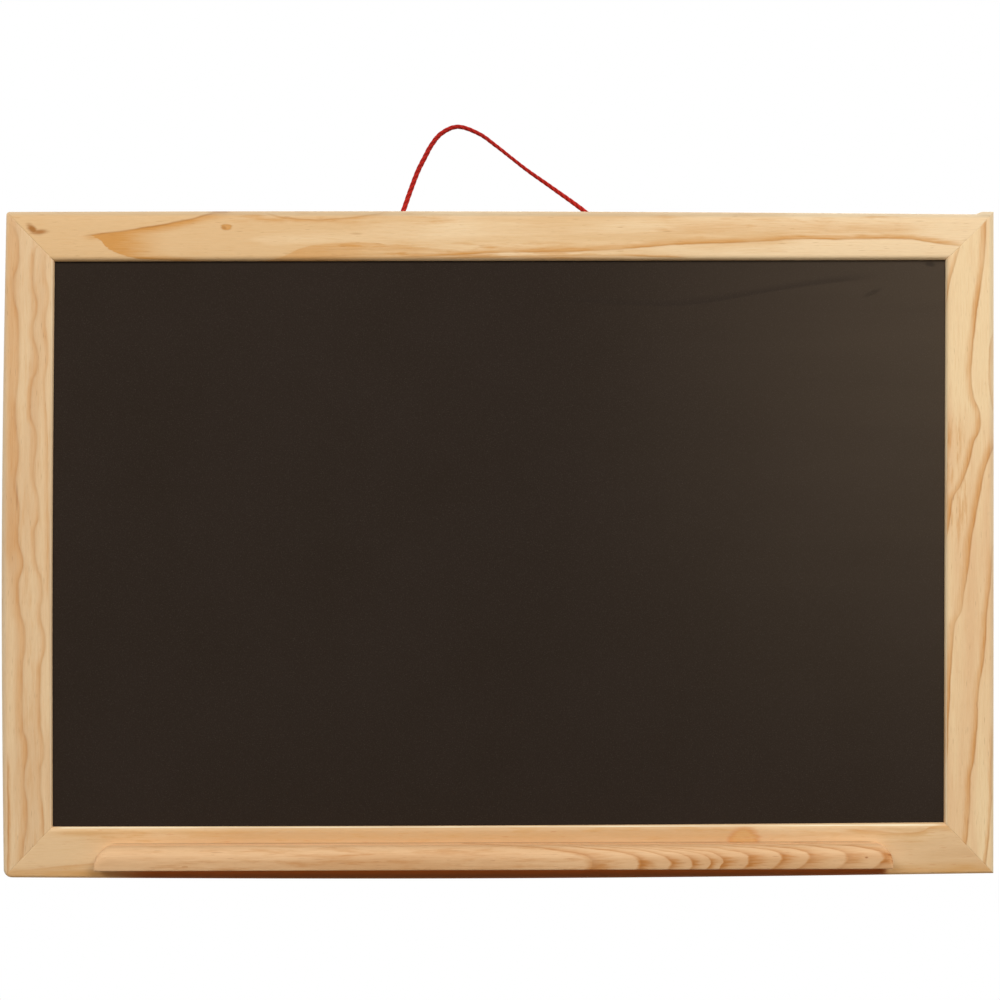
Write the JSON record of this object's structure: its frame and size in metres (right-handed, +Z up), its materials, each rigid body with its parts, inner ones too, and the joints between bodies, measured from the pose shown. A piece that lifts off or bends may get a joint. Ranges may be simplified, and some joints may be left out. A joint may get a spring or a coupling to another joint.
{
  "type": "chalkboard",
  "caption": "Wall chalkboard with a mitred pine frame, a dark matt writing panel, a chalk ledge and a red cord that swings on screw eyes to hang it by.",
  "frame": {"origin": "on the back of the bottom rail, half way along and half way up it, where the hung board touches the wall", "axes": "+X to the right as the board is read, -Y out of the writing face, +Y into the wall, +Z up"},
  "size_m": [0.6, 0.0447, 0.4583],
  "materials": {
    "frame_wood": "planed and sanded pine, clear, satin",
    "ledge_wood": "planed pine with arched grain, satin",
    "board_paint": "hardboard with matt near-black writing paint",
    "steel": "plain steel strip",
    "zinc": "zinc plated",
    "cord": "twisted red cord, slight sheen"
  },
  "bodies": {
    "board": {"top_rail": "frame_wood", "bottom_rail": "frame_wood", "left_stile": "frame_wood", "right_stile": "frame_wood", "writing_panel": "board_paint", "chalk_ledge": "ledge_wood", "corner_wedge_bottom_left_1": "steel", "corner_wedge_bottom_left_2": "steel", "corner_wedge_bottom_right_1": "steel", "corner_wedge_bottom_right_2": "steel", "corner_wedge_top_right_1": "steel", "corner_wedge_top_right_2": "steel", "corner_wedge_top_left_1": "steel", "corner_wedge_top_left_2": "steel", "panel_point_top_1": "steel", "panel_point_top_2": "steel", "panel_point_top_3": "steel", "panel_point_top_4": "steel", "panel_point_bottom_1": "steel", "panel_point_bottom_2": "steel", "panel_point_bottom_3": "steel", "panel_point_bottom_4": "steel", "panel_point_left_1": "steel", "panel_point_left_2": "steel", "panel_point_left_3": "steel", "panel_point_right_1": "steel", "panel_point_right_2": "steel", "panel_point_right_3": "steel", "ledge_screw_1": "zinc", "ledge_screw_2": "zinc", "ledge_screw_3": "zinc", "screw_eye_left": "zinc", "screw_eye_right": "zinc"},
    "hanging_loop": {"hanging_cord": "cord", "cord_knot_left": "cord", "cord_knot_right": "cord"}
  },
  "joints": [
    {"name": "loop_swing", "type": "hinge", "parent": "board", "child": "hanging_loop", "pos_m": [0, 0.005, 0.37575], "axis": [-1, 0, 0], "range_deg": [-15, 180]}
  ]
}
